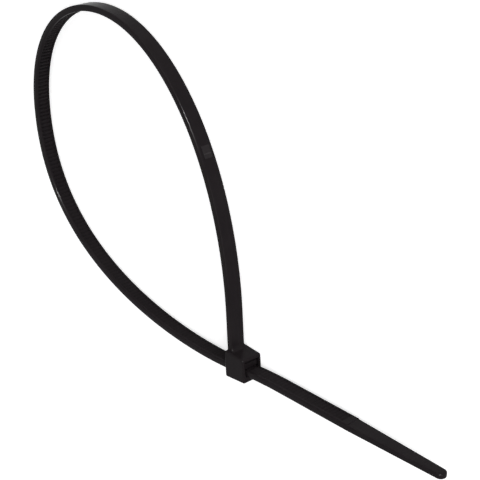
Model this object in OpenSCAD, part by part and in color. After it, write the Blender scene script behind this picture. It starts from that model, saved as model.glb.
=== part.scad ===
// A self-locking strap tie, moulded in one piece, closed into a loop and lying on its side.
// The strap leaves the top of the head, bends round in a wide loop and comes back through the
// head's slot, where the pawl's teeth hold the strap's teeth. The tail sticks out of the slot.
// The origin is the middle of the slot, on the surface that the head lies on.
// X runs out of the slot along the tail, Y up along the start of the strap, Z off the surface.

/* [Strap] */
// Width of the strap
strap_w = 4; // [3.6:0.1:4.2]
// Thickness of the strap
strap_t = 1.55; // [1.35:0.05:1.7]
// Bevel along the strap's long edges
strap_bevel = 0.22; // [0.1:0.02:0.3]

/* [Loop] */
// Lean of the strap's root over the head, in degrees
root_lean = 1.5; // [0:0.5:4]
// Straight length of strap above the root
stem_len = 9; // [6:1:16]
// Height of the loop's top above the slot
top_y = 79; // [62:1:110]
// Place of the loop's top, back from the slot
top_back = 44; // [34:1:54]
// Height of the loop's far side above the slot
side_y = 48; // [36:1:54]
// Reach of the loop's far side, back from the slot
side_back = 72; // [66:1:100]

/* [Tail] */
// Length of the tail past the head
tail_len = 56.6; // [44:0.2:90]
// Length of the thin end of the tail
grip_len = 25.4; // [15:0.2:34]
// Width of the strap at its tip
tip_w = 2.6; // [1.8:0.1:3.2]
// Drop from the toothed face to the thin end
grip_drop = 0.15; // [0.1:0.05:0.25]
// Further thinning towards the tip
tip_thin = 0.15; // [0.05:0.05:0.25]
// Turn of the bend that the tail keeps, in degrees
tail_turn = 4.9; // [1:0.1:12]
// Radius of that bend
tail_bend_r = 125; // [100:5:180]

/* [Teeth] */
// Distance from tooth to tooth
tooth_pitch = 1; // [0.9:0.05:1.2]
// Depth of a tooth
tooth_h = 0.35; // [0.25:0.05:0.4]
// Width of the rail left along each side of the teeth
rail_w = 0.6; // [0.4:0.05:0.7]
// Depth of the teeth's crests below the rails
crest_drop = 0.05; // [0.03:0.01:0.1]
// Smooth strap between the root and the first tooth
smooth_len = 12; // [6:1:20]

/* [Head] */
// Head's length along the slot
head_l = 6.4; // [5.8:0.1:7.2]
// Head's width across the strap
head_w = 5.7; // [5.6:0.1:6.5]
// Head below the middle of the slot
head_under = 2.35; // [1.9:0.05:3]
// Head above the middle of the slot, at the mouth that the tail leaves
head_over = 3.55; // [3.5:0.05:4.3]
// Slope of the head's top, down towards the tail, in degrees
head_slope = 9; // [4:0.5:12]
// Radius of the head's edges
head_r = 0.4; // [0.25:0.05:0.6]
// Step from the head's back face in to the strap's inner face
root_step = 0.3; // [0.2:0.05:0.5]
// Fillet between the strap's outer face and the head's top
neck_r = 1.2; // [0.6:0.1:1.5]
// Flare of the strap's sides into the head
flare_r = 0.5; // [0.3:0.05:0.6]

/* [Slot and pawl] */
// Clearance between the strap and the slot
slot_gap = 0.13; // [0.08:0.01:0.2]
// Bevel round the mouth that the tail enters
mouth_bevel = 0.3; // [0.15:0.05:0.4]
// Thickness of the pawl
pawl_t = 1.3; // [1:0.05:1.4]
// Thickness of the pawl's hinge
hinge_t = 0.65; // [0.5:0.05:0.75]
// Wall above the pawl's pocket, at the mouth that the tail leaves
roof_t = 0.75; // [0.6:0.05:0.9]
// Gap between the pawl's sides and the pocket
pawl_gap = 0.28; // [0.2:0.02:0.4]
// Solid back of the head that carries the pawl's hinge
hinge_back = 1.3; // [1:0.05:1.6]
// Distance from the pawl's end to the mouth that the tail leaves
pawl_short = 0.5; // [0.4:0.05:1.2]
// Teeth on the pawl
pawl_teeth = 3; // [1:1:3]
// Clearance between the pawl's teeth and the strap's
tooth_gap = 0.07; // [0.04:0.01:0.1]

/* [Gate mark] */
// Distance of the flat mark from the root, along the strap
mark_s = 47.6; // [30:0.2:70]
// Length of the mark
mark_l = 3; // [2:0.1:5]
// Width of the mark
mark_w = 2.3; // [1.5:0.1:2.6]
// Height of the mark
mark_h = 0.15; // [0.08:0.01:0.25]

/* [Hidden] */
nylon = "#232022";

// Sizes that follow from the ones above
root_lift = 0.05; // height of the strap's first section above the head's lowest top edge
mid_z = head_w / 2;
front_x = head_l / 2;
back_x = -front_x;
root_x = back_x + root_step + strap_t / 2;
root_y = head_over + root_lift;
slot_h = strap_t + 2 * slot_gap;
slot_w = strap_w + 2 * slot_gap;
over = 1;         // how far a cut runs past the face that it opens

// Places along the route. A station holds a point and the direction of travel.
ring_gap = 2;     // distance between the sections of a bent stretch
fine_gap = 0.15;  // distance between the sections of the neck
plain_gap = 3;    // distance between the sections of the straight tail
clear_gap = 1;    // least distance from such a section to the next feature

function heading(a) = [cos(a), sin(a)];
function left_of(d) = [-d.y, d.x];
function bezier(c, t) =
    pow(1 - t, 3) * c[0] + 3 * pow(1 - t, 2) * t * c[1] + 3 * (1 - t) * t * t * c[2] + t * t * t * c[3];
function bezier_dir(c, t) =
    let (d = pow(1 - t, 2) * (c[1] - c[0]) + 2 * (1 - t) * t * (c[2] - c[1]) + t * t * (c[3] - c[2]))
    d / norm(d);
function bent_stretch(c) =
    let (n = ceil((norm(c[1] - c[0]) + norm(c[2] - c[1]) + norm(c[3] - c[2])) / ring_gap))
    [for (i = [1:n]) [bezier(c, i / n), bezier_dir(c, i / n)]];

// The loop is three smooth bends: root to top, top to far side, far side to slot. Four handles are
// shares of the height or width that they span. The other two keep the curvature equal on both
// sides of the loop's top and of its far side, as far as the room between the bends allows.
rise_share = 0.58;
run_share = 0.565;
fall_share = 0.655;
return_share = 0.34;
over_most = 0.75; // longest handle past the top, as a share of the way back to the far side
back_most = 0.9;  // longest handle past the far side, as a share of its height above the slot
up = heading(90 - root_lean);
root = [root_x, root_y];
stem_top = root + stem_len * up;
top = [-top_back, top_y];
side = [-side_back, side_y];
slot_in = [back_x, 0];
rise = top.y - stem_top.y;
run = slot_in.x - side.x;
reach_1 = rise_share * rise;
reach_2 = run_share * (stem_top.x - top.x);
fall = top.y - side.y;
reach_4 = fall_share * fall;
even_3 = reach_2 * sqrt((fall - reach_4) / (rise - reach_1 * up.y));
reach_3 = min(even_3, over_most * (top.x - side.x));
reach_6 = return_share * run;
even_5 = reach_4 * sqrt((run - reach_6) / (top.x - side.x - reach_3));
reach_5 = min(even_5, back_most * side.y);
bend_up = [stem_top, stem_top + reach_1 * up, top + [reach_2, 0], top];
bend_over = [top, top - [reach_3, 0], side + [0, reach_4], side];
bend_back = [side, side - [0, reach_5], slot_in - [reach_6, 0], slot_in];

// The tail lies straight in the slot, keeps one shallow bend past it, and ends straight.
bend_len = tail_bend_r * tail_turn * PI / 180;
tail_end = head_l + tail_len;
tip_r = tip_w / 2;
function tail_point(u) =
    let (a = min(max(u - head_l, 0), bend_len) / bend_len * tail_turn)
    let (rest = max(u - head_l - bend_len, 0))
    [slot_in + [min(u, head_l), 0] + tail_bend_r * [sin(a), cos(a) - 1] + rest * heading(-a), heading(-a)];

grip_start = tail_end - grip_len;
step_len = 0.15;  // length of the ramp that drops the face to the thin end
tip_fan = 15;     // angle between the sections of the rounded tip
tip_last = 75;    // angle of the last of them
tail_parts = 5;   // stretches that the tail's bend is drawn with
tail_places = concat(
    [head_l / 2, head_l],
    [for (u = [1:tail_parts]) head_l + bend_len * u / tail_parts],
    [for (u = [head_l + bend_len + plain_gap:plain_gap:grip_start - clear_gap]) u],
    [grip_start, grip_start + step_len],
    [for (u = [grip_start + plain_gap:plain_gap:tail_end - tip_r - clear_gap]) u],
    [for (a = [0:tip_fan:tip_last]) tail_end - tip_r + tip_r * sin(a)]
);
neck_len = neck_r + clear_gap;
neck_places = [for (d = [fine_gap:fine_gap:neck_len]) d];
route = concat(
    [[root, up]],
    [for (d = neck_places) [root + d * up, up]],
    [for (d = [neck_len + clear_gap:ring_gap:stem_len - clear_gap]) [root + d * up, up]],
    [[stem_top, up]],
    bent_stretch(bend_up),
    bent_stretch(bend_over),
    bent_stretch(bend_back),
    [for (u = tail_places) tail_point(u)]
);

// Length of strap from the root to each station
lengths = [for (i = 0, s = 0; i < len(route);
    i = i + 1, s = s + (i < len(route) ? norm(route[i][0] - route[i - 1][0]) : 0)) s];
xs = [for (i = [0:len(route) - 1]) [lengths[i], route[i][0].x]];
ys = [for (i = [0:len(route) - 1]) [lengths[i], route[i][0].y]];
nxs = [for (i = [0:len(route) - 1]) [lengths[i], left_of(route[i][1]).x]];
nys = [for (i = [0:len(route) - 1]) [lengths[i], left_of(route[i][1]).y]];
total = lengths[len(lengths) - 1];
function beside(s, off) = [lookup(s, xs) + off * lookup(s, nxs), lookup(s, ys) + off * lookup(s, nys)];

// Strap section. The inner face is on the left of the travel, inside the loop.
tip_s = total + tip_r * (1 - sin(tip_last)); // where the round tip would close
grip_s = tip_s - grip_len;
slot_s = tip_s - tail_end + head_l / 2; // middle of the slot
neck_base = head_over + (front_x - root_x - strap_t / 2 - neck_r) * tan(head_slope) - root_y;
function quarter(d, r) = d <= 0 ? r : d >= r ? 0 : r - sqrt(r * r - (r - d) * (r - d));
function tip_share(s) = let (d = s - (tip_s - tip_r)) d <= 0 ? 1 : sqrt(max(0, 1 - pow(d / tip_r, 2)));
function grip_share(s) = min(max((s - grip_s) / (grip_len - tip_r), 0), 1);
function half_w(s) =
    (strap_w / 2 + (tip_w - strap_w) / 2 * grip_share(s)) * tip_share(s) + quarter(s - neck_base, flare_r);
function inner_off(s) =
    strap_t / 2 - grip_drop * min(max((s - grip_s) / step_len, 0), 1) - tip_thin * grip_share(s);
function outer_off(s) = -strap_t / 2 - quarter(s - neck_base, neck_r);
function section(s) =
    let (w = half_w(s), i = inner_off(s), o = outer_off(s), b = strap_bevel)
    [[o, b - w], [o + b, -w], [i - b, -w], [i, b - w], [i, w - b], [i - b, w], [o + b, w], [o, w - b]];

module strap_body() {
    rings = [for (k = [0:len(route) - 1])
        [for (c = section(lengths[k]))
            let (p = route[k][0] + c[0] * left_of(route[k][1])) [p.x, p.y, mid_z + c[1]]]];
    m = len(rings[0]);
    last = len(rings) - 1;
    points = [for (r = rings) each r];
    walls = [for (k = [0:last - 1], j = [0:m - 1])
        [k * m + j, (k + 1) * m + j, (k + 1) * m + (j + 1) % m, k * m + (j + 1) % m]];
    start_cap = [for (j = [0:m - 1]) j];
    end_cap = [for (j = [m - 1:-1:0]) last * m + j];
    polyhedron(points, concat([start_cap], walls, [end_cap]), convexity = 12);
}

// Teeth. Each rises steeply just after its valley and slopes gently down to the next valley, so
// that the steep side faces back to the root. They are counted from the slot, to meet the pawl.
crest_off = strap_t / 2 - crest_drop;
valley_off = crest_off - tooth_h;
steep_part = 0.1;  // share of the pitch that the steep side takes
flat_part = 0.25;  // share of the pitch up to the end of the crest
pawl_end = front_x - pawl_short;
bite_back = 0.15;  // distance from the pawl's end to the valley under its last tooth
bite_x = pawl_end - bite_back;
bite_s = slot_s + bite_x;
first_tooth = ceil((smooth_len - bite_s) / tooth_pitch);
last_tooth = floor((grip_s - clear_gap - bite_s) / tooth_pitch);

module tooth_gaps() {
    valleys = [for (k = [first_tooth:last_tooth]) bite_s + k * tooth_pitch];
    cut = concat(
        [beside(valleys[0] - (1 - flat_part) * tooth_pitch, crest_off)],
        [for (v = valleys) each [
            beside(v, valley_off),
            beside(v + steep_part * tooth_pitch, crest_off),
            beside(v + flat_part * tooth_pitch, crest_off)]]
    );
    s_from = valleys[0] - (1 - flat_part) * tooth_pitch;
    s_to = valleys[len(valleys) - 1] + flat_part * tooth_pitch;
    n = ceil((s_to - s_from) / ring_gap);
    back = [for (i = [n:-1:0]) beside(s_from + (s_to - s_from) * i / n, strap_t / 2 + over / 2)];
    translate([0, 0, mid_z - strap_w / 2 + rail_w])
        linear_extrude(strap_w - 2 * rail_w) polygon(concat(cut, back));
}

// Flat mark that the mould's gate leaves on the strap's outer face
module gate_mark() {
    places = [mark_s - mark_l / 2, mark_s, mark_s + mark_l / 2];
    outside = [for (s = places) beside(s, -strap_t / 2 - mark_h)];
    inside = [for (i = [2:-1:0]) beside(places[i], 0)];
    translate([0, 0, mid_z - mark_w / 2]) linear_extrude(mark_w) polygon(concat(outside, inside));
}

// Head with rounded edges and a sloping top
ball_fn = 24;
back_shoulder = 1.2; // height at which the head's back face leans in to the strap
top_lean = 0.1;      // distance from the strap's inner face to the corner under it
function top_at(x) = head_over + (front_x - x) * tan(head_slope);
module head_block() {
    r = head_r;
    inner_x = root_x - strap_t / 2 + top_lean;
    corners = [
        [back_x + r, r - head_under], [front_x - r, r - head_under],
        [front_x - r, head_over - r], [inner_x + r, top_at(inner_x) - r], [back_x + r, back_shoulder]
    ];
    hull() for (c = corners, z = [r, head_w - r])
        translate([c.x, c.y, z]) sphere(r / cos(180 / ball_fn), $fn = ball_fn);
}

// Slot for the strap, with the pawl's pocket above it open towards the tail
hinge_x = back_x + hinge_back;
pocket_top = head_over - roof_t;
pawl_lift = 0.05;   // how far the pawl's underside clears the slot's ceiling
corner_share = 0.5; // bevel in the pocket's corner, as a share of the room above the hinge
pawl_under = slot_h / 2 + pawl_lift;
module slot_and_pocket() {
    corner = corner_share * (pocket_top - pawl_under - hinge_t);
    translate([0, 0, mid_z - slot_w / 2]) linear_extrude(slot_w) polygon([
        [back_x - over, -slot_h / 2], [front_x + over, -slot_h / 2], [front_x + over, pocket_top],
        [hinge_x + corner, pocket_top], [hinge_x, pocket_top - corner],
        [hinge_x, slot_h / 2], [back_x - over, slot_h / 2]]);
}

// Bevelled mouth that the tail enters
module mouth() {
    // The funnel starts as far outside the head as it reaches in, and opens at 45 degrees all round
    spread = 4 * mouth_bevel;
    plate = 0.2 * mouth_bevel; // thickness of the funnel's two ends
    inset = 0.1 * mouth_bevel; // how far the inner end lies within the slot
    wide = [slot_h + spread, slot_w + spread];
    narrow = [slot_h - inset, slot_w - inset];
    hull() {
        for (c = [[-1, wide], [1, narrow]])
            translate([back_x + c[0] * mouth_bevel, 0, mid_z])
                cube([plate, c[1].x, c[1].y], center = true);
    }
}

// Pawl: a tongue from the back of the head, with teeth that mesh with the strap's
module pawl() {
    grip = 0.4;      // depth that the tongue is rooted in the head
    thicken = 1.2;   // length over which the tongue gains its full thickness
    nose = 0.3;      // bevel on the tongue's end
    seat = 0.1;      // how far a tooth is rooted in the tongue
    tip_gap = 1.5 * tooth_gap;  // clearance under a tooth
    ramp_gap = 1.1 * tooth_gap; // clearance along its gentle side
    tongue_w = slot_w - 2 * pawl_gap;
    teeth_w = strap_w - 2 * rail_w - 2 * tooth_gap;
    slope = tooth_h / ((1 - flat_part) * tooth_pitch);
    steep = steep_part * tooth_pitch / tooth_h;
    bite = valley_off + tip_gap;
    translate([0, 0, mid_z - tongue_w / 2]) linear_extrude(tongue_w) polygon([
        [hinge_x - grip, pawl_under], [pawl_end, pawl_under], [pawl_end, pawl_under + pawl_t - nose],
        [pawl_end - nose, pawl_under + pawl_t], [hinge_x + thicken, pawl_under + pawl_t],
        [hinge_x, pawl_under + hinge_t], [hinge_x - grip, pawl_under + hinge_t]]);
    for (k = [0:pawl_teeth - 1]) {
        valley_x = bite_x - k * tooth_pitch;
        steep_x = valley_x - tooth_gap;
        seat_y = pawl_under + seat;
        translate([0, 0, mid_z - teeth_w / 2]) linear_extrude(teeth_w) polygon([
            [steep_x + steep * (bite - valley_off), bite],
            [steep_x + steep * (seat_y - valley_off), seat_y],
            [valley_x - (seat_y - valley_off - ramp_gap) / slope, seat_y]]);
    }
}

module cable_tie() {
    color(nylon) union() {
        difference() {
            strap_body();
            tooth_gaps();
        }
        difference() {
            head_block();
            slot_and_pocket();
            mouth();
        }
        pawl();
        gate_mark();
    }
}

cable_tie();
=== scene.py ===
import logging
import math
from collections.abc import Callable, Mapping, Sequence
from dataclasses import dataclass, field
from enum import Enum

import bmesh
import bpy
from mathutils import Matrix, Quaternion, Vector


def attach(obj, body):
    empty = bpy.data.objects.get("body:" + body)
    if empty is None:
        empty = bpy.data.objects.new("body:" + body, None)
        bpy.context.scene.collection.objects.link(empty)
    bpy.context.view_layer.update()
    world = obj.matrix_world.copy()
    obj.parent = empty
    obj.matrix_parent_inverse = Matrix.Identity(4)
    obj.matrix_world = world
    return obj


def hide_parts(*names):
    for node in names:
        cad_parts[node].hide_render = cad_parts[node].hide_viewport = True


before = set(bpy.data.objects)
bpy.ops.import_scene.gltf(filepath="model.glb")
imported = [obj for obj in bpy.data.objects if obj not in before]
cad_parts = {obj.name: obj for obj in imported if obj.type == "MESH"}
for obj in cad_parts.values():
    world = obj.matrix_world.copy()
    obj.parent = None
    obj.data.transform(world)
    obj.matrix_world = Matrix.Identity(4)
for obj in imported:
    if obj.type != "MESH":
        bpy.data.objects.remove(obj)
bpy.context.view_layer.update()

# A black nylon cable tie, moulded in one piece, closed into a loop and lying on its side.
# Pieces are modelled in millimetres, in the frame's own axes, and brought to metres at the end.
# X runs out of the slot along the tail, Y up along the start of the strap, Z off the floor.

log = logging.getLogger("cable_tie")

MM = 0.001
NODE = "cable_tie"
# Faces are made paler for the gate pad's own tone, and as painted light: on the teeth's steep
# sides, and as a painted highlight on the pad's rib.
PALE_AND_PAINTED_LIGHT = "pale"  # face attribute: how much paler a face is than plain nylon, 0 to 1
TOUCH = 1e-4  # distance in millimetres within which two corners are the same
FACING = 0.9  # a face looks along an axis if its normal has at least this share of it
SQUARE_ON = 0.99  # the same for an end face, as the teeth's steep sides look nearly that way
TILTED = 0.5  # share of an axis that parts the faces that look along it from those beside them
CURVE_STEPS = 96  # sections to each bend of the route
LENGTH_STEPS = 512  # steps to each bend where the route's length is measured

Object = bpy.types.Object
Tree = bpy.types.NodeTree
Socket = bpy.types.NodeSocket
Outputs = bpy.types.NodeOutputs
Face = bmesh.types.BMFace
CornerRule = Callable[[Vector], bool]
EdgeRule = Callable[[bmesh.types.BMEdge], bool]
FaceRule = Callable[[Face], bool]
Pair = tuple[float, float]
Triple = tuple[float, float, float]


class Solver(Enum):
    """How two closed meshes are combined."""

    JOIN = "UNION"
    CUT = "DIFFERENCE"


class Pick(Enum):
    """What is selected on a mesh."""

    CORNERS = "VERT"
    EDGES = "EDGE"
    FACES = "FACE"


class Maths(Enum):
    """What a maths node does with its two values."""

    TIMES = "MULTIPLY"
    GREATER = "MAXIMUM"


@dataclass(frozen=True)
class StrapSizes:
    """The flat strap and its loop, in millimetres.

    The shares give the length of the loop's curve handles, by the height or width that they span.
    """

    width: float = 4.0
    thickness: float = 1.55
    edge_radius: float = 0.24
    edge_segments: int = 3
    stem: float = 9.0  # straight strap above the root
    lean: float = 1.5  # degrees
    top: Pair = (-44.0, 79.0)
    side: Pair = (-72.0, 48.0)
    rise_share: float = 0.58
    run_share: float = 0.565
    fall_share: float = 0.655
    return_share: float = 0.34
    smooth: float = 12.0  # strap without teeth after the root
    ring_gap: float = 2.0
    root_rings: int = 4


@dataclass(frozen=True)
class TailSizes:
    """The end of the strap that sticks out of the head, in millimetres and degrees."""

    length: float = 56.6
    grip: float = 25.4
    tip_width: float = 2.6
    tip_step: int = 10
    tip_last: int = 74
    drop: float = 0.15
    thinning: float = 0.15
    ramp: float = 0.15
    turn: float = 4.9
    bend_radius: float = 125.0
    nose: float = 0.18  # how much each face of the tip draws in


@dataclass(frozen=True)
class ToothSizes:
    """One tooth of the strap's inner face, and how the teeth repeat.

    Its steep side and its crest are shares of the pitch.
    """

    pitch: float = 1.0
    height: float = 0.35
    rail: float = 0.6
    below_rail: float = 0.05
    steep: float = 0.1
    crest: float = 0.15
    ramp_rings: int = 3
    clear_of_grip: float = 1.0
    # paler colour of the teeth's steep sides: painted light that lifts the shade in the valleys
    # between the teeth
    flank_painted_light: float = 0.35

    @property
    def ramp(self) -> float:
        """Share of the pitch that the gentle side takes."""
        return 1 - self.steep - self.crest


@dataclass(frozen=True)
class HeadSizes:
    """The square head with its slot and pocket, in millimetres and degrees."""

    length: float = 6.4
    width: float = 5.7
    under: float = 2.35
    over: float = 3.55
    slope: float = 9.0
    edge_radius: float = 0.4
    edge_segments: int = 5
    edge_angle: float = 30.0  # edges that turn by less stay as they are
    root_step: float = 0.3
    root_lift: float = 0.05
    top_lean: float = 0.1
    shoulder: float = 1.2
    neck_radius: float = 1.2
    neck_steps: int = 10
    flare: float = 0.5
    slot_gap: float = 0.13
    slot_overrun: float = 1.0
    mouth: float = 0.3
    mouth_segments: int = 3
    rim: float = 0.09
    rim_segments: int = 2
    rim_reach: float = 0.06  # how far from the head's face an edge of a mouth may lie
    roof: float = 0.75
    corner_share: float = 0.5
    corner_segments: int = 4

    @property
    def front(self) -> float:
        """X of the face that the tail leaves by."""
        return self.length / 2

    @property
    def back(self) -> float:
        """X of the face that the tail enters by."""
        return -self.length / 2

    @property
    def middle(self) -> float:
        """Z of the strap's middle plane."""
        return self.width / 2

    def top_at(self, x: float) -> float:
        """Gives the height of the sloping top.

        Args:
            x: Place along the slot.

        Returns:
            The height over the middle of the slot.
        """
        return self.over + (self.front - x) * math.tan(math.radians(self.slope))


@dataclass(frozen=True)
class PawlSizes:
    """The tongue in the head that holds the strap's teeth, in millimetres."""

    thickness: float = 1.3
    hinge: float = 0.65
    side_gap: float = 0.28
    hinge_back: float = 1.3
    rooted: float = 0.4
    thicken: float = 1.2
    short: float = 0.5
    lift: float = 0.05
    nose: float = 0.3
    nose_segments: int = 4
    teeth: int = 3
    tooth_gap: float = 0.07
    gaps_under: float = 1.5  # clearance under a tooth, in tooth gaps
    bite_back: float = 0.15
    end_margin: float = 0.02  # least distance from a tooth to the tongue's end
    root_margin: float = 0.01  # how far a tooth's foot stays below the tongue's underside


@dataclass(frozen=True)
class MarkSizes:
    """The pale pad of the mould's gate on the strap's outer face, with a low rib across it whose
    colour is a painted highlight.
    """

    place: float = 47.6
    length: float = 3.0
    width: float = 2.3
    height: float = 0.10
    edge: float = 0.05
    edge_segments: int = 2
    margin: float = 2.0
    rib_place: float = 47.2
    rib_length: float = 0.5
    rib_height: float = 0.04
    rib_crest: Triple = (0.5, 1.0, 0.9)
    pad_shade: float = 0.42
    # the rib's colour is a painted highlight
    rib_painted_highlight: float = 1.0


def near(first: float, second: float) -> bool:
    """Whether two places on an axis are the same."""
    return abs(first - second) < TOUCH


def edge_at(x: float, y: float) -> EdgeRule:
    """Makes the rule for an edge that runs across the strap.

    Args:
        x: Where the edge is along the slot.
        y: How high it is.

    Returns:
        A rule that names this edge.
    """
    return lambda e: all(near(v.co.x, x) and near(v.co.y, y) for v in e.verts)


class Bench:
    """Modelling moves on one mesh object, as done by hand in edit mode."""

    def __init__(self, piece: Object) -> None:
        """Opens a piece for editing.

        Args:
            piece: The piece that is worked on.
        """
        self.piece = piece
        make_active(piece)
        bpy.ops.object.mode_set(mode="EDIT")
        bpy.ops.mesh.select_mode(type=Pick.CORNERS.value)

    @classmethod
    def block(cls, name: str, low: Sequence[float], high: Sequence[float]) -> "Bench":
        """Adds a block between two corners and opens it for editing.

        Args:
            name: Name of the new piece.
            low: Lowest corner.
            high: Highest corner.

        Returns:
            The bench with the block on it.
        """
        deselect_all()
        centre = [(a + b) / 2 for a, b in zip(low, high)]
        bpy.ops.mesh.primitive_cube_add(size=1, location=centre)
        piece = bpy.context.object
        piece.name = name
        piece.data.name = name
        piece.scale = [b - a for a, b in zip(low, high)]
        bpy.ops.object.transform_apply(location=True, rotation=True, scale=True)
        return cls(piece)

    def done(self) -> Object:
        """Closes editing and returns the piece."""
        bpy.ops.object.mode_set(mode="OBJECT")
        return self.piece

    def all(self) -> None:
        """Selects the whole mesh."""
        bpy.ops.mesh.select_mode(type=Pick.CORNERS.value)
        bpy.ops.mesh.select_all(action="SELECT")

    def weld(self) -> None:
        """Merges the corners that are in the same place."""
        self.all()
        bpy.ops.mesh.remove_doubles(threshold=TOUCH)

    def none(self, kind: Pick) -> bmesh.types.BMesh:
        """Deselects everything.

        Args:
            kind: What is selected next.

        Returns:
            The mesh that is edited.
        """
        bpy.ops.mesh.select_mode(type=kind.value)
        bpy.ops.mesh.select_all(action="DESELECT")
        return bmesh.from_edit_mesh(self.piece.data)

    def corners(self, rule: CornerRule) -> bool:
        """Selects the corners that a rule names.

        Args:
            rule: Says whether a corner at this place is wanted.

        Returns:
            Whether there are any.
        """
        mesh = self.none(Pick.CORNERS)
        found = [v for v in mesh.verts if rule(v.co)]
        for corner in found:
            corner.select = True
        mesh.select_flush(True)
        bmesh.update_edit_mesh(self.piece.data)
        return bool(found)

    def edges(self, rule: EdgeRule) -> None:
        """Selects the edges that a rule names.

        Args:
            rule: Says whether an edge is wanted.
        """
        mesh = self.none(Pick.EDGES)
        for edge in [e for e in mesh.edges if rule(e)]:
            edge.select = True
        bmesh.update_edit_mesh(self.piece.data)

    def faces(self, rule: FaceRule) -> None:
        """Selects the faces that a rule names.

        Args:
            rule: Says whether a face is wanted.
        """
        mesh = self.none(Pick.FACES)
        mesh.normal_update()
        for face in [f for f in mesh.faces if rule(f)]:
            face.select = True
        bmesh.update_edit_mesh(self.piece.data)

    def cut_at(self, axis: int, places: Sequence[float]) -> None:
        """Cuts the whole mesh into rings across an axis.

        Args:
            axis: 0, 1 or 2 for X, Y or Z.
            places: Where each cut lies on that axis.
        """
        for place in places:
            self.all()
            self.cut_selected(axis, place)

    def cut_selected(self, axis: int, place: float) -> None:
        """Cuts what is selected across an axis.

        Args:
            axis: 0, 1 or 2 for X, Y or Z.
            place: Where the cut lies on that axis.
        """
        point = [0.0, 0.0, 0.0]
        normal = [0.0, 0.0, 0.0]
        point[axis] = place
        normal[axis] = 1.0
        bpy.ops.mesh.bisect(plane_co=point, plane_no=normal, threshold=TOUCH)

    def shift(self, rule: CornerRule, move: Sequence[float]) -> None:
        """Moves the corners that a rule names.

        Args:
            rule: Says whether a corner at this place is moved.
            move: How far, along each axis.
        """
        if self.corners(rule):
            bpy.ops.transform.translate(value=move)

    def round_selected(self, radius: float, segments: int) -> None:
        """Rounds the selected edges.

        Args:
            radius: Radius of the round.
            segments: How many faces it is made of.
        """
        bpy.ops.mesh.bevel(
            offset=radius, segments=segments, profile=0.5, affect="EDGES", clamp_overlap=False
        )

    def push_out(self, move: Sequence[float]) -> None:
        """Extrudes the selected faces together.

        Args:
            move: How far, along each axis.
        """
        bpy.ops.mesh.extrude_region_move(TRANSFORM_OT_translate={"value": move})

    def drop_selected_faces(self) -> None:
        """Deletes the selected faces and leaves their corners."""
        bpy.ops.mesh.delete(type="FACE")

    def tag_selected(self, name: str, value: float) -> None:
        """Writes a value to the selected faces, for the finish to read.

        Args:
            name: Name of the face attribute.
            value: The value.
        """
        mesh = bmesh.from_edit_mesh(self.piece.data)
        layer = mesh.faces.layers.float.get(name) or mesh.faces.layers.float.new(name)
        for face in mesh.faces:
            if face.select:
                face[layer] = value
        bmesh.update_edit_mesh(self.piece.data)


def deselect_all() -> None:
    """Leaves edit mode and deselects every object."""
    if bpy.context.object is not None and bpy.context.object.mode != "OBJECT":
        bpy.ops.object.mode_set(mode="OBJECT")
    bpy.ops.object.select_all(action="DESELECT")


def make_active(piece: Object) -> None:
    """Selects one piece alone and makes it the active one.

    Args:
        piece: The piece.
    """
    deselect_all()
    piece.select_set(True)
    bpy.context.view_layer.objects.active = piece


def apply_modifier(piece: Object, modifier: bpy.types.Modifier) -> None:
    """Applies a modifier to its piece.

    Args:
        piece: The piece that carries the modifier.
        modifier: The modifier.
    """
    make_active(piece)
    bpy.ops.object.modifier_apply(modifier=modifier.name)


def combine(piece: Object, tool: Object, how: Solver) -> None:
    """Joins a closed mesh to a piece, or cuts it out, and removes the tool.

    Args:
        piece: The piece that stays.
        tool: The mesh that is joined or cut out.
        how: Which of the two.
    """
    modifier = piece.modifiers.new(how.name.lower(), "BOOLEAN")
    modifier.operation = how.value
    modifier.solver = "EXACT"
    modifier.object = tool
    apply_modifier(piece, modifier)
    bpy.data.objects.remove(tool)


def quarter(distance: float, radius: float) -> float:
    """How far a hollow quarter round stands out, at a distance from its foot.

    Args:
        distance: Distance from the foot of the round.
        radius: Radius of the round.

    Returns:
        The radius at the foot, falling to nothing one radius away.
    """
    if distance <= 0:
        return radius
    if distance >= radius:
        return 0.0
    return radius - math.sqrt(radius * radius - (radius - distance) ** 2)


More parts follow.
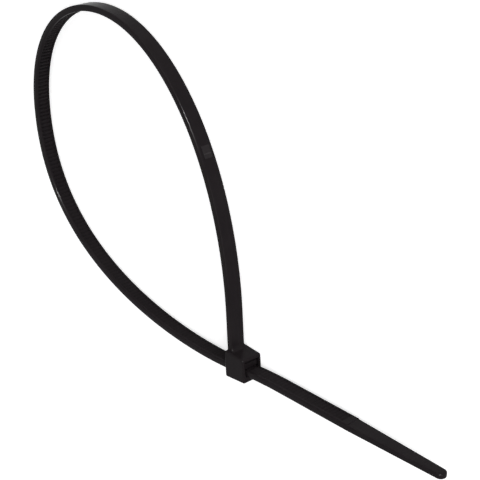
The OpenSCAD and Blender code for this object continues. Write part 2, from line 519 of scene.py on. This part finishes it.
@dataclass
class Route:
    """The line that the strap follows: out of the head, round the loop and through the slot."""

    strap: StrapSizes
    tail: TailSizes
    head: HeadSizes
    up: Vector = field(init=False)
    root: Vector = field(init=False)
    slot_in: Vector = field(init=False)
    curve: Object = field(init=False)
    tip: float = field(init=False)
    slot_middle: float = field(init=False)

    def __post_init__(self) -> None:
        """Works out the corners of the route, draws it as a curve and measures it."""
        head, strap, tail = self.head, self.strap, self.tail
        lean = math.radians(90 - strap.lean)
        self.up = Vector((math.cos(lean), math.sin(lean), 0))
        root_x = head.back + head.root_step + strap.thickness / 2
        self.root = Vector((root_x, head.over + head.root_lift, 0))
        self.slot_in = Vector((head.back, 0, 0))
        self.curve = self.draw()
        self.tip = self.curve.data.splines[0].calc_length(resolution=LENGTH_STEPS)
        self.slot_middle = self.tip - tail.length - head.length / 2

    def knots(self) -> list[tuple[Vector, Vector, Vector]]:
        """The route's points, each with the handles before and after it.

        Two of the loop's six handles follow from the others, so that the strap's curvature is
        the same on both sides of the loop's top and of its far side.

        Returns:
            One (handle before, point, handle after) for each point, on the plane Z = 0.
        """
        strap, tail = self.strap, self.tail
        stem_top = self.root + strap.stem * self.up
        top = Vector((*strap.top, 0))
        side = Vector((*strap.side, 0))
        rise = top.y - stem_top.y
        fall = top.y - side.y
        run = self.slot_in.x - side.x
        reach_1 = strap.rise_share * rise
        reach_2 = strap.run_share * (stem_top.x - top.x)
        reach_4 = strap.fall_share * fall
        reach_3 = reach_2 * math.sqrt((fall - reach_4) / (rise - reach_1 * self.up.y))
        reach_6 = strap.return_share * run
        reach_5 = reach_4 * math.sqrt((run - reach_6) / (top.x - side.x - reach_3))
        east = Vector((1, 0, 0))
        north = Vector((0, 1, 0))
        third = strap.stem / 3
        slot_out = self.slot_in + east * self.head.length
        slot_third = self.head.length / 3
        turn = math.radians(tail.turn)
        arc_reach = 4 / 3 * math.tan(turn / 4) * tail.bend_radius
        bent = Vector((math.cos(turn), -math.sin(turn), 0))
        bend_end = slot_out + tail.bend_radius * Vector((math.sin(turn), math.cos(turn) - 1, 0))
        rest = tail.length - tail.bend_radius * turn
        tip = bend_end + rest * bent
        return [
            (self.root - self.up * third, self.root, self.root + self.up * third),
            (stem_top - self.up * third, stem_top, stem_top + self.up * reach_1),
            (top + east * reach_2, top, top - east * reach_3),
            (side + north * reach_4, side, side - north * reach_5),
            (self.slot_in - east * reach_6, self.slot_in, self.slot_in + east * slot_third),
            (slot_out - east * slot_third, slot_out, slot_out + east * arc_reach),
            (bend_end - bent * arc_reach, bend_end, bend_end + bent * rest / 3),
            (tip - bent * rest / 3, tip, tip + bent * rest / 3),
        ]

    def draw(self) -> Object:
        """Draws the route as a curve, at the strap's middle height."""
        data = bpy.data.curves.new("strap_route", "CURVE")
        data.dimensions = "2D"
        data.resolution_u = CURVE_STEPS
        spline = data.splines.new("BEZIER")
        knots = self.knots()
        spline.bezier_points.add(len(knots) - 1)
        for point, (before, place, after) in zip(spline.bezier_points, knots):
            point.handle_left_type = "FREE"
            point.handle_right_type = "FREE"
            point.co = place
            point.handle_left = before
            point.handle_right = after
        curve = bpy.data.objects.new("strap_route", data)
        curve.location.z = self.head.middle
        bpy.context.scene.collection.objects.link(curve)
        return curve

    def bend(self, piece: Object) -> None:
        """Bends a straight piece so that it follows the route.

        Args:
            piece: The piece, modelled along X.
        """
        piece.location.z = self.head.middle
        bpy.context.view_layer.update()
        modifier = piece.modifiers.new("bend", "CURVE")
        modifier.object = self.curve
        modifier.deform_axis = "POS_X"
        apply_modifier(piece, modifier)
        bpy.ops.object.transform_apply(location=True, rotation=True, scale=True)


@dataclass
class Strap:
    """The strap with its rails, teeth, gate mark and tapered tail."""

    sizes: StrapSizes
    teeth: ToothSizes
    tail: TailSizes
    head: HeadSizes
    pawl: PawlSizes
    mark: MarkSizes
    route: Route
    half_t: float = field(init=False)
    track: float = field(init=False)  # half the width between the rails
    bed: float = field(init=False)  # height of the teeth's crests
    grip_start: float = field(init=False)
    tooth_count: int = field(init=False)
    teeth_from: float = field(init=False)
    teeth_to: float = field(init=False)
    neck_foot: float = field(init=False)  # where the strap comes out of the head's top

    def __post_init__(self) -> None:
        """Works out the toothed track and where the teeth begin and end along the strap."""
        teeth, route = self.teeth, self.route
        self.half_t = self.sizes.thickness / 2
        self.track = self.sizes.width / 2 - teeth.rail
        self.bed = self.half_t - teeth.below_rail
        bite = route.slot_middle + self.head.front - self.pawl.short - self.pawl.bite_back
        self.grip_start = route.tip - self.tail.grip
        first = math.ceil((self.sizes.smooth - bite) / teeth.pitch)
        last = math.floor((self.grip_start - teeth.clear_of_grip - bite) / teeth.pitch)
        self.tooth_count = last - first + 1
        self.teeth_from = bite + first * teeth.pitch - teeth.ramp * teeth.pitch
        self.teeth_to = self.teeth_from + self.tooth_count * teeth.pitch
        foot_x = route.root.x + self.half_t + self.head.neck_radius
        self.neck_foot = self.head.top_at(foot_x) - route.root.y

    def blank(self, name: str, start: float, end: float) -> Bench:
        """A straight stretch of the strap's full section, with its long edges rounded.

        Args:
            name: Name of the stretch.
            start: Where it begins along the strap.
            end: Where it ends.

        Returns:
            The stretch, open for editing.
        """
        half_w = self.sizes.width / 2
        work = Bench.block(name, (start, -self.half_t, -half_w), (end, self.half_t, half_w))
        work.edges(lambda e: abs(e.verts[0].co.x - e.verts[1].co.x) > TOUCH)
        work.round_selected(self.sizes.edge_radius, self.sizes.edge_segments)
        return work

    def make(self) -> Object:
        """Models the straight strap from its three stretches, joins them and bends them.

        Returns:
            The whole strap on its route.
        """
        toothed = self.toothed_stretch()
        root = self.root_stretch()
        tail = self.tail_stretch()
        make_active(toothed)
        root.select_set(True)
        tail.select_set(True)
        bpy.ops.object.join()
        work = Bench(bpy.context.object)
        work.weld()
        bpy.ops.mesh.normals_make_consistent(inside=False)
        self.raise_mark(work)
        strap = work.done()
        strap.name = "strap"
        self.route.bend(strap)
        return strap

    def toothed_stretch(self) -> Object:
        """Models one tooth on a short length of strap, and repeats it.

        Returns:
            The stretch, open at both ends.
        """
        teeth, start, track = self.teeth, self.teeth_from, self.track
        valley = start + teeth.ramp * teeth.pitch
        crest = valley + teeth.steep * teeth.pitch

        def on_bed(c: Vector) -> bool:
            return near(c.y, self.bed) and abs(c.z) < track + TOUCH

        def steep_side(f: Face) -> bool:
            centre = f.calc_center_median()
            return valley < centre.x < crest and f.normal.x < -TILTED and abs(centre.z) < track

        work = self.blank("toothed_strap", start, start + teeth.pitch)
        work.cut_at(2, (-track, track))
        work.faces(lambda f: f.normal.y > FACING and abs(f.calc_center_median().z) < track)
        work.push_out((0, -teeth.below_rail, 0))
        work.cut_at(0, (valley, crest))
        work.shift(lambda c: near(c.x, valley) and on_bed(c), (0, -teeth.height, 0))
        ramp, rings = valley - start, teeth.ramp_rings
        work.cut_at(0, [start + ramp * k / rings for k in range(1, rings)])
        # The steep sides are painted paler: painted light that lifts the shade between the teeth.
        work.faces(steep_side)
        work.tag_selected(PALE_AND_PAINTED_LIGHT, teeth.flank_painted_light)
        work.faces(lambda f: abs(f.normal.x) > SQUARE_ON)
        work.drop_selected_faces()
        piece = work.done()
        row = piece.modifiers.new("row_of_teeth", "ARRAY")
        row.count = self.tooth_count
        row.use_relative_offset = False
        row.use_constant_offset = True
        row.constant_offset_displace = (teeth.pitch, 0, 0)
        row.use_merge_vertices = True
        row.merge_threshold = TOUCH
        apply_modifier(piece, row)
        return piece

    def open_end(self, work: Bench, place: float) -> None:
        """Gives a smooth stretch the teeth's section at one end, and opens that end.

        The small step from the smooth inner face down to the teeth stays closed.

        Args:
            work: The stretch.
            place: Where the end is.
        """
        def on_end(f: Face) -> bool:
            return near(f.calc_center_median().x, place)

        def in_track(f: Face) -> bool:
            return on_end(f) and abs(f.calc_center_median().z) < self.track

        for height in (-self.track, self.track):
            work.faces(on_end)
            work.cut_selected(2, height)
        work.faces(in_track)
        work.cut_selected(1, self.bed)
        work.faces(lambda f: on_end(f)
                   and not (in_track(f) and f.calc_center_median().y > self.bed))
        work.drop_selected_faces()

    def reshape(self, work: Bench, place: float, wider: float, inner: float, outer: float) -> None:
        """Moves the faces of the strap's section outwards, at one place along the strap.

        Args:
            work: The stretch.
            place: Where the section is.
            wider: How far each side moves.
            inner: How far the inner face moves.
            outer: How far the outer face moves.
        """
        for axis, sign, move in ((2, 1, wider), (2, -1, wider), (1, 1, inner), (1, -1, outer)):
            if move:
                step = [0.0, 0.0, 0.0]
                step[axis] = sign * move
                work.shift(lambda c: near(c.x, place) and sign * c[axis] > 0, step)

    def root_stretch(self) -> Object:
        """Models the smooth start of the strap, which widens and thickens into the head.

        Returns:
            The stretch, open where the teeth begin.
        """
        neck, steps = self.head.neck_radius, self.head.neck_steps
        turns = [math.pi / 2 * k / steps for k in range(steps + 1)]
        rings = [self.neck_foot + neck * (1 - math.cos(a)) for a in turns]
        rings += [self.neck_foot + neck + self.sizes.ring_gap * k
                  for k in range(1, self.sizes.root_rings + 1)]
        work = self.blank("strap_root", 0.0, self.teeth_from)
        work.cut_at(0, rings)
        for place in [0.0, *rings]:
            distance = place - self.neck_foot
            flare = quarter(distance, self.head.flare)
            self.reshape(work, place, flare, 0.0, quarter(distance, neck))
        self.open_end(work, self.teeth_from)
        return work.done()

    def tip_ring(self, angle: float) -> float:
        """Finds a section of the round tip.

        Args:
            angle: How far round the tip it is, in degrees.

        Returns:
            Its place along the strap.
        """
        radius = self.tail.tip_width / 2
        return self.route.tip - radius * (1 - math.sin(math.radians(angle)))

    def tail_stretch(self) -> Object:
        """Models the smooth tail: it drops to the thin end, tapers and ends round.

        Returns:
            The stretch, open where the teeth end.
        """
        tail, width, gap = self.tail, self.sizes.width, self.sizes.ring_gap
        tip_radius = tail.tip_width / 2
        grip = self.grip_start
        taper = tail.grip - tip_radius
        last_ring = self.tip_ring(tail.tip_last)
        rings = [grip, grip + tail.ramp]
        rings += [grip + gap * k for k in range(1, int(taper / gap))]
        rings += [self.tip_ring(a) for a in range(0, tail.tip_last, tail.tip_step)]
        work = self.blank("strap_tail", self.teeth_to, last_ring)
        work.cut_at(0, rings)
        for place in [*rings, last_ring]:
            share = min(max((place - grip) / taper, 0), 1)
            into_tip = max(0.0, place - (self.route.tip - tip_radius)) / tip_radius
            round_tip = math.sqrt(max(0.0, 1 - into_tip * into_tip))
            half = width / 2 + (tail.tip_width - width) / 2 * share
            narrow = width / 2 - half * round_tip
            ramp = min(max((place - grip) / tail.ramp, 0), 1)
            nose = tail.nose * (1 - round_tip)
            inner = -tail.drop * ramp - tail.thinning * share - nose
            self.reshape(work, place, -narrow, inner, -nose)
        self.open_end(work, self.teeth_to)
        return work.done()

    def raise_mark(self, work: Bench) -> None:
        """Raises the gate mark on the outer face, and the rib on the mark.

        Args:
            work: The whole strap, still straight.
        """
        mark = self.mark
        low_x, high_x = mark.place - mark.length / 2, mark.place + mark.length / 2
        top = -self.half_t - mark.height

        def on_face(f: Face) -> bool:
            centre = f.calc_center_median()
            return (f.normal.y < -FACING and near(centre.y, -self.half_t)
                    and low_x - mark.margin < centre.x < high_x + mark.margin)

        def in_mark(f: Face) -> bool:
            centre = f.calc_center_median()
            return on_face(f) and low_x < centre.x < high_x and abs(centre.z) < mark.width / 2

        def on_pad(f: Face) -> bool:
            return near(f.calc_center_median().y, top)

        def in_rib(f: Face) -> bool:
            offset = f.calc_center_median().x - mark.rib_place
            return on_pad(f) and abs(offset) < mark.rib_length / 2

        for axis, place in ((0, low_x), (0, high_x), (2, -mark.width / 2), (2, mark.width / 2)):
            work.faces(on_face)
            work.cut_selected(axis, place)
        work.faces(in_mark)
        work.push_out((0, -mark.height, 0))
        work.tag_selected(PALE_AND_PAINTED_LIGHT, mark.pad_shade)
        work.edges(lambda e: all(near(v.co.y, top) for v in e.verts)
                   and any(abs(f.normal.y) < TILTED for f in e.link_faces))
        work.round_selected(mark.edge, mark.edge_segments)
        for side in (-0.5, 0.5):
            work.faces(on_pad)
            work.cut_selected(0, mark.rib_place + side * mark.rib_length)
        work.faces(in_rib)
        work.push_out((0, -mark.rib_height, 0))
        bpy.ops.transform.resize(value=mark.rib_crest)
        # The rib's colour is a painted highlight.
        work.tag_selected(PALE_AND_PAINTED_LIGHT, mark.rib_painted_highlight)


@dataclass
class Head:
    """The head: a block with rounded edges and a sloping top, its slot and the pawl's pocket."""

    sizes: HeadSizes
    strap: StrapSizes
    pawl: PawlSizes
    root_x: float
    slot_half_h: float = field(init=False)
    slot_half_w: float = field(init=False)
    pocket_top: float = field(init=False)
    hinge_x: float = field(init=False)

    def __post_init__(self) -> None:
        """Works out the slot from the strap and its clearance, and the pocket's height."""
        self.slot_half_h = self.strap.thickness / 2 + self.sizes.slot_gap
        self.slot_half_w = self.strap.width / 2 + self.sizes.slot_gap
        self.pocket_top = self.sizes.over - self.sizes.roof
        self.hinge_x = self.sizes.back + self.pawl.hinge_back

    def make(self) -> Object:
        """Models the block, cuts the slot and pocket and eases their mouths.

        Returns:
            The head without its pawl.
        """
        block = self.block()
        combine(block, self.slot_tool(), Solver.CUT)
        self.ease_mouths(block)
        return block

    def block(self) -> Object:
        """Models the outer form: the sloping top, the leaning back and the rounded edges."""
        s = self.sizes
        inner_x = self.root_x - self.strap.thickness / 2 + s.top_lean
        work = Bench.block("head", (s.back, -s.under, 0), (s.front, s.over, s.width))
        rise = s.top_at(inner_x) - s.over
        work.shift(lambda c: c.y > 0 and c.x < 0, (inner_x - s.back, rise, 0))
        work.cut_at(1, (s.shoulder,))
        work.shift(lambda c: near(c.y, s.shoulder) and c.x < 0,
                   (s.back - self.back_line(inner_x, s.shoulder), 0, 0))
        sharp = math.radians(s.edge_angle)
        work.edges(lambda e: e.is_manifold and e.calc_face_angle() > sharp)
        work.round_selected(s.edge_radius, s.edge_segments)
        return work.done()

    def back_line(self, inner_x: float, height: float) -> float:
        """Follows the straight line from the back's foot to the top of the strap's inner face.

        Args:
            inner_x: X where the line meets the sloping top.
            height: Height over the middle of the slot.

        Returns:
            X of the line at that height.
        """
        s = self.sizes
        share = (height + s.under) / (s.top_at(inner_x) + s.under)
        return s.back + share * (inner_x - s.back)

    def slot_tool(self) -> Object:
        """Models the tool that cuts the slot, and the pocket above it towards the tail."""
        s = self.sizes
        low = (s.back - s.slot_overrun, -self.slot_half_h, s.middle - self.slot_half_w)
        high = (s.front + s.slot_overrun, self.slot_half_h, s.middle + self.slot_half_w)
        work = Bench.block("slot_tool", low, high)
        work.cut_at(0, (self.hinge_x,))
        work.faces(lambda f: f.normal.y > FACING and f.calc_center_median().x > self.hinge_x)
        work.push_out((0, self.pocket_top - self.slot_half_h, 0))
        room = self.pocket_top - self.slot_half_h - self.pawl.lift - self.pawl.hinge
        work.edges(edge_at(self.hinge_x, self.pocket_top))
        work.round_selected(s.corner_share * room, s.corner_segments)
        return work.done()

    def ease_mouths(self, block: Object) -> None:
        """Bevels the mouth that the tail enters and eases the rim of the one that it leaves.

        Args:
            block: The head with its slot and pocket.
        """
        s = self.sizes

        def in_slot(c: Vector) -> bool:
            return (abs(c.z - s.middle) < self.slot_half_w + TOUCH
                    and abs(c.y) < self.pocket_top + TOUCH)

        work = Bench(block)
        for face_x, radius, segments in ((s.back, s.mouth, s.mouth_segments),
                                         (s.front, s.rim, s.rim_segments)):
            low, high = face_x - s.rim_reach, face_x + s.rim_reach
            work.edges(lambda e: all(in_slot(v.co) and low < v.co.x < high for v in e.verts))
            work.round_selected(radius, segments)
        work.done()


@dataclass
class Pawl:
    """The tongue inside the head, with the teeth that mesh with the strap's."""

    sizes: PawlSizes
    head: Head
    teeth: ToothSizes
    strap: StrapSizes

    def make(self) -> Object:
        """Models the tongue, its thinner hinge and its teeth.

        Returns:
            The pawl in its place in the head.
        """
        s, head = self.sizes, self.head
        middle = head.sizes.middle
        under = head.slot_half_h + s.lift
        top = under + s.thickness
        end = head.sizes.front - s.short
        half = head.slot_half_w - s.side_gap
        low = (head.hinge_x - s.rooted, under, middle - half)
        work = Bench.block("pawl", low, (end, top, middle + half))
        work.cut_at(0, (head.hinge_x, head.hinge_x + s.thicken))
        work.shift(lambda c: c.x < head.hinge_x + TOUCH and c.y > under + TOUCH,
                   (0, s.hinge - s.thickness, 0))
        work.edges(edge_at(end, top))
        work.round_selected(s.nose, s.nose_segments)
        self.cut_teeth(work, under, end)
        return work.done()

    def cut_teeth(self, work: Bench, under: float, end: float) -> None:
        """Draws the pawl's teeth down from its underside.

        Args:
            work: The pawl, open for editing.
            under: Height of its underside.
            end: X of its free end.
        """
        s, teeth = self.sizes, self.teeth
        middle = self.head.sizes.middle
        half = self.strap.width / 2 - teeth.rail - s.tooth_gap
        valley = self.strap.thickness / 2 - teeth.below_rail - teeth.height
        tip_y = valley + s.gaps_under * s.tooth_gap
        lean = teeth.steep * teeth.pitch / teeth.height
        bite = end - s.bite_back

        def steep_at(k: int, height: float) -> float:
            return bite - k * teeth.pitch - s.tooth_gap + lean * (height - valley)

        def underside(f: Face) -> bool:
            return f.normal.y < -FACING and near(f.calc_center_median().y, under)

        tips = [steep_at(k, tip_y) for k in range(s.teeth)]
        roots = [steep_at(k, under) for k in range(s.teeth + 1)]
        roots[0] = min(roots[0], end - s.end_margin)

        def in_teeth(f: Face) -> bool:
            at = f.calc_center_median()
            return underside(f) and roots[-1] < at.x < roots[0] and abs(at.z - middle) < half

        for axis, places in ((0, [*tips, *roots]), (2, [middle - half, middle + half])):
            for place in places:
                work.faces(underside)
                work.cut_selected(axis, place)
        work.faces(in_teeth)
        depth = under - tip_y
        work.push_out((0, -depth, 0))
        for place in roots:
            work.shift(lambda c: near(c.x, place) and near(c.y, tip_y),
                       (0, depth - s.root_margin, 0))


def empty_tree(owner: bpy.types.Material | bpy.types.World) -> Tree:
    """Turns on the nodes of a material or world and clears them.

    Args:
        owner: The material or world.

    Returns:
        Its node tree.
    """
    owner.use_nodes = True
    owner.node_tree.nodes.clear()
    return owner.node_tree


def fill(tree: Tree, node: bpy.types.Node, inputs: Mapping[str | int, object]) -> Outputs:
    """Fills the inputs of a node.

    Args:
        tree: The tree that the node is in.
        node: The node.
        inputs: What each input gets: a value, or the output that is linked to it.

    Returns:
        The node's outputs.
    """
    for name, value in inputs.items():
        if isinstance(value, Socket):
            tree.links.new(value, node.inputs[name])
        else:
            node.inputs[name].default_value = value
    return node.outputs


def add_node(tree: Tree, kind: str, inputs: Mapping[str | int, object]) -> Outputs:
    """Adds a node and fills its inputs.

    Args:
        tree: The tree that it is for.
        kind: Blender's name for its type.
        inputs: What each input gets.

    Returns:
        The node's outputs.
    """
    return fill(tree, tree.nodes.new(kind), inputs)


def add_maths(tree: Tree, how: Maths, first: object, second: object) -> Socket:
    """Adds a maths node for two values.

    Args:
        tree: The tree that it is for.
        how: What it does with them.
        first: The first value, or the output that gives it.
        second: The second.

    Returns:
        The socket that gives the result.
    """
    node = tree.nodes.new("ShaderNodeMath")
    node.operation = how.value
    return fill(tree, node, {0: first, 1: second})["Value"]


@dataclass(frozen=True)
class BlackNylon:
    """Near-black moulded nylon: smooth, a little uneven, with a soft satin gloss.

    Both spans are parts of the noise's range. The heights of the unevenness are in metres.
    """

    colour: Triple = (0.0108, 0.0086, 0.0096)
    paler: Triple = (0.0136, 0.0111, 0.0122)
    # the paler tone of the gate pad, also used for painted light on the teeth's steep sides and
    # for the painted highlight of the rib
    mark: Triple = (0.0340, 0.0305, 0.0320)
    colour_span: Pair = (0.3, 0.75)
    roughness: Pair = (0.13, 0.25)
    roughness_span: Pair = (0.25, 0.75)
    specular: float = 0.035
    ior: float = 1.53
    flow_scale: float = 160.0
    flow_detail: float = 3.0
    flow_height: float = 0.00003
    grain_scale: float = 6500.0
    grain_detail: float = 2.0
    grain_height: float = 0.0000012

    def material(self) -> bpy.types.Material:
        """Builds the finish from noise on the object's own coordinates.

        Returns:
            The material for the whole moulding.
        """
        finish = bpy.data.materials.new("black_nylon")
        tree = empty_tree(finish)
        place = tree.nodes.new("ShaderNodeTexCoord").outputs["Object"]
        flow, grain = (
            add_node(tree, "ShaderNodeTexNoise",
                     {"Vector": place, "Scale": scale, "Detail": detail})["Fac"]
            for scale, detail in ((self.flow_scale, self.flow_detail),
                                  (self.grain_scale, self.grain_detail))
        )
        gloss = add_node(tree, "ShaderNodeMapRange", {
            "Value": flow,
            "From Min": self.roughness_span[0],
            "From Max": self.roughness_span[1],
            "To Min": self.roughness[0],
            "To Max": self.roughness[1],
        })["Result"]
        wave = add_node(tree, "ShaderNodeBump",
                        {"Strength": 1.0, "Distance": self.flow_height, "Height": flow})
        fine = add_node(tree, "ShaderNodeBump",
                        {"Strength": 1.0, "Distance": self.grain_height, "Height": grain,
                         "Normal": wave["Normal"]})
        shader = add_node(tree, "ShaderNodeBsdfPrincipled", {
            "Base Color": self.tint(tree, flow),
            "Roughness": gloss,
            "IOR": self.ior,
            "Specular IOR Level": self.specular,
            "Normal": fine["Normal"],
        })["BSDF"]
        add_node(tree, "ShaderNodeOutputMaterial", {"Surface": shader})
        return finish

    def tint(self, tree: Tree, flow: Socket) -> Socket:
        """Adds the colour: two blacks, mixed by the noise, and paler where a face says so: the
        gate pad's own tone, painted light on the teeth's steep sides and a painted highlight on
        the pad's rib.

        Args:
            tree: The material's nodes.
            flow: The socket that gives the noise.

        Returns:
            The socket that gives the colour.
        """
        ramp = tree.nodes.new("ShaderNodeValToRGB")
        stops = ramp.color_ramp.elements
        for stop, position, colour in zip(stops, self.colour_span, (self.colour, self.paler)):
            stop.position = position
            stop.color = (*colour, 1)
        plain = fill(tree, ramp, {"Fac": flow})["Color"]
        pale = tree.nodes.new("ShaderNodeAttribute")
        pale.attribute_name = PALE_AND_PAINTED_LIGHT
        mix = tree.nodes.new("ShaderNodeMix")
        mix.data_type = "RGBA"
        parts = {"Factor": pale.outputs["Fac"], "A": plain, "B": (*self.mark, 1)}
        return fill(tree, mix, parts)["Result"]


@dataclass
class CableTie:
    """The whole tie, moulded in one piece."""

    strap_sizes: StrapSizes = field(default_factory=StrapSizes)
    tail_sizes: TailSizes = field(default_factory=TailSizes)
    tooth_sizes: ToothSizes = field(default_factory=ToothSizes)
    head_sizes: HeadSizes = field(default_factory=HeadSizes)
    pawl_sizes: PawlSizes = field(default_factory=PawlSizes)
    mark_sizes: MarkSizes = field(default_factory=MarkSizes)
    finish: BlackNylon = field(default_factory=BlackNylon)
    smooth_angle: float = 32.0
    flat_weight: int = 80  # how far the shading of a round's faces follows its large neighbours

    def make(self) -> None:
        """Models strap, head and pawl and joins them into one finished moulding."""
        route = Route(self.strap_sizes, self.tail_sizes, self.head_sizes)
        strap = Strap(self.strap_sizes, self.tooth_sizes, self.tail_sizes, self.head_sizes,
                      self.pawl_sizes, self.mark_sizes, route)
        tie = strap.make()
        report("strap", tie)
        head = Head(self.head_sizes, self.strap_sizes, self.pawl_sizes, route.root.x)
        block = head.make()
        report("head", block)
        pawl = Pawl(self.pawl_sizes, head, self.tooth_sizes, self.strap_sizes).make()
        report("pawl", pawl)
        combine(block, pawl, Solver.JOIN)
        combine(tie, block, Solver.JOIN)
        bpy.data.objects.remove(route.curve)
        self.finish_piece(tie)

    def finish_piece(self, tie: Object) -> None:
        """Brings the moulding to metres, smooths its shading and dresses it.

        Args:
            tie: The moulding, in millimetres.
        """
        tie.name = "moulded_tie"
        tie.data.name = "moulded_tie"
        work = Bench(tie)
        work.weld()
        bpy.ops.mesh.dissolve_degenerate(threshold=TOUCH)
        work.done()
        tie.scale = (MM, MM, MM)
        bpy.ops.object.transform_apply(location=True, rotation=True, scale=True)
        bpy.ops.object.shade_smooth_by_angle(angle=math.radians(self.smooth_angle))
        even = tie.modifiers.new("even_shading", "WEIGHTED_NORMAL")
        even.keep_sharp = True
        even.weight = self.flat_weight
        apply_modifier(tie, even)
        tie.data.materials.clear()
        tie.data.materials.append(self.finish.material())
        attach(tie, "root")
        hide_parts(NODE)
        report("moulded_tie", tie)


@dataclass(frozen=True)
class Lamp:
    """One soft lamp: where it stands, how wide it is and how strong, in metres and watts.

    A lamp that is for gloss alone shows in highlights and lights no matt surface.
    """

    name: str
    azimuth: float
    elevation: float
    distance: float
    width: float
    height: float
    power: float
    gloss_only: bool = False


@dataclass
class Studio:
    """A white floor, a soft plain light and the camera at the photograph's angle.

    The camera's distance and target are in millimetres, and the rest in metres and degrees.
    """

    azimuth: float = 117.297
    elevation: float = 37.871
    roll: float = -111.149
    distance: float = 285.871
    focal_px: float = 1290.141
    target: Pair = (1.647, 31.981)
    photo_px: int = 480
    sensor: float = 36.0
    clip_start: float = 0.01
    floor_size: float = 8.0
    floor_white: float = 0.9
    floor_lift: float = 0.55
    floor_mirrored: float = 0.2
    world_light: float = 0.45
    world_white: float = 1.0
    lamps: tuple[Lamp, ...] = (
        Lamp("key", 88.0, 28.0, 0.9, 0.5, 0.5, 4.5),
        Lamp("side_fill", 160.0, 20.0, 1.1, 0.9, 0.6, 5.2),
        Lamp("glint", 134.0, 45.5, 0.9, 0.05, 0.05, 50.0, gloss_only=True),
    )

    def make(self, middle: float) -> None:
        """Sets up floor, world, lamps and camera.

        Args:
            middle: Height of the strap's middle plane, in millimetres.
        """
        centre = Vector((*self.target, middle)) * MM
        self.add_floor()
        self.add_world()
        for lamp in self.lamps:
            self.add_lamp(lamp, centre)
        self.add_camera(centre)
        bpy.context.scene.view_settings.view_transform = "Standard"

    def aim(self, azimuth: float, elevation: float) -> Vector:
        """Gives the direction from the object towards a lamp or camera.

        Args:
            azimuth: Turn about Z in degrees, 0 for one that looks along +Y.
            elevation: Height over the floor, in degrees.

        Returns:
            The direction, one unit long.
        """
        a, e = math.radians(azimuth), math.radians(elevation)
        return Vector((math.sin(a) * math.cos(e), -math.cos(a) * math.cos(e), math.sin(e)))

    def add_floor(self) -> None:
        """Lays a large white floor that keeps the object's shadow."""
        deselect_all()
        bpy.ops.mesh.primitive_plane_add(size=self.floor_size, location=(0, 0, 0))
        floor = bpy.context.object
        floor.name = "floor"
        paint = bpy.data.materials.new("white_floor")
        tree = empty_tree(paint)
        white = (self.floor_white, self.floor_white, self.floor_white, 1)
        matte = add_node(tree, "ShaderNodeBsdfDiffuse", {"Color": white})["BSDF"]
        seen = self.seen_rays(tree, self.floor_mirrored)
        strength = add_maths(tree, Maths.TIMES, seen, self.floor_lift)
        lift = add_node(tree, "ShaderNodeEmission", {"Strength": strength})["Emission"]
        both = add_node(tree, "ShaderNodeAddShader", {0: matte, 1: lift})["Shader"]
        add_node(tree, "ShaderNodeOutputMaterial", {"Surface": both})
        floor.data.materials.append(paint)

    def seen_rays(self, tree: Tree, mirrored: float = 1.0) -> Socket:
        """Adds a value that is 1 for what the camera sees, straight or through glass.

        Args:
            tree: The material or world that it is for.
            mirrored: The value for what the camera sees in a reflection.

        Returns:
            The socket that gives the value, which is 0 for all other light.
        """
        rays = tree.nodes.new("ShaderNodeLightPath").outputs
        glossy = add_maths(tree, Maths.TIMES, rays["Is Glossy Ray"], mirrored)
        seen = add_maths(tree, Maths.GREATER, rays["Is Camera Ray"], glossy)
        return add_maths(tree, Maths.GREATER, seen, rays["Is Transmission Ray"])

    def add_world(self) -> None:
        """A world that looks white and lights softly."""
        world = bpy.data.worlds.new("white_studio")
        bpy.context.scene.world = world
        tree = empty_tree(world)
        soft, white = (
            add_node(tree, "ShaderNodeBackground",
                     {"Color": (1, 1, 1, 1), "Strength": strength})["Background"]
            for strength in (self.world_light, self.world_white)
        )
        sides = {"Fac": self.seen_rays(tree), 1: soft, 2: white}
        mix = add_node(tree, "ShaderNodeMixShader", sides)["Shader"]
        add_node(tree, "ShaderNodeOutputWorld", {"Surface": mix})

    def add_lamp(self, lamp: Lamp, centre: Vector) -> None:
        """Hangs one soft lamp and points it at the object.

        Args:
            lamp: The lamp.
            centre: The point that it shines at, in metres.
        """
        light = bpy.data.lights.new(lamp.name, "AREA")
        light.shape = "RECTANGLE"
        light.size = lamp.width
        light.size_y = lamp.height
        light.energy = lamp.power
        stand = bpy.data.objects.new(lamp.name, light)
        towards = self.aim(lamp.azimuth, lamp.elevation)
        stand.location = centre + towards * lamp.distance
        stand.rotation_mode = "QUATERNION"
        stand.rotation_quaternion = (-towards).to_track_quat("-Z", "Y")
        stand.visible_camera = False
        stand.visible_diffuse = not lamp.gloss_only
        bpy.context.scene.collection.objects.link(stand)

    def add_camera(self, centre: Vector) -> None:
        """Stands the camera where the photograph was taken from.

        Args:
            centre: The point that it looks at, in metres.
        """
        data = bpy.data.cameras.new("photo_camera")
        data.sensor_width = self.sensor
        data.lens = self.focal_px * self.sensor / self.photo_px
        data.clip_start = self.clip_start
        camera = bpy.data.objects.new("photo_camera", data)
        back = self.aim(self.azimuth, self.elevation)
        camera.location = centre + back * self.distance * MM
        camera.rotation_mode = "QUATERNION"
        level = (-back).to_track_quat("-Z", "Y")
        camera.rotation_quaternion = level @ Quaternion((0, 0, 1), math.radians(self.roll))
        bpy.context.scene.collection.objects.link(camera)
        bpy.context.scene.camera = camera


def report(name: str, piece: Object) -> None:
    """Logs a piece's size and how many faces it has.

    Args:
        name: What the piece is called in the log.
        piece: The piece.
    """
    size = ", ".join(f"{d:.4g}" for d in piece.dimensions)
    log.info("%s: %d faces, %s", name, len(piece.data.polygons), size)


def main() -> None:
    """Builds the tie and the studio around it."""
    logging.basicConfig(level=logging.INFO, format="%(message)s")
    tie = CableTie()
    tie.make()
    Studio().make(tie.head_sizes.middle)


if __name__ == "__main__":
    main()
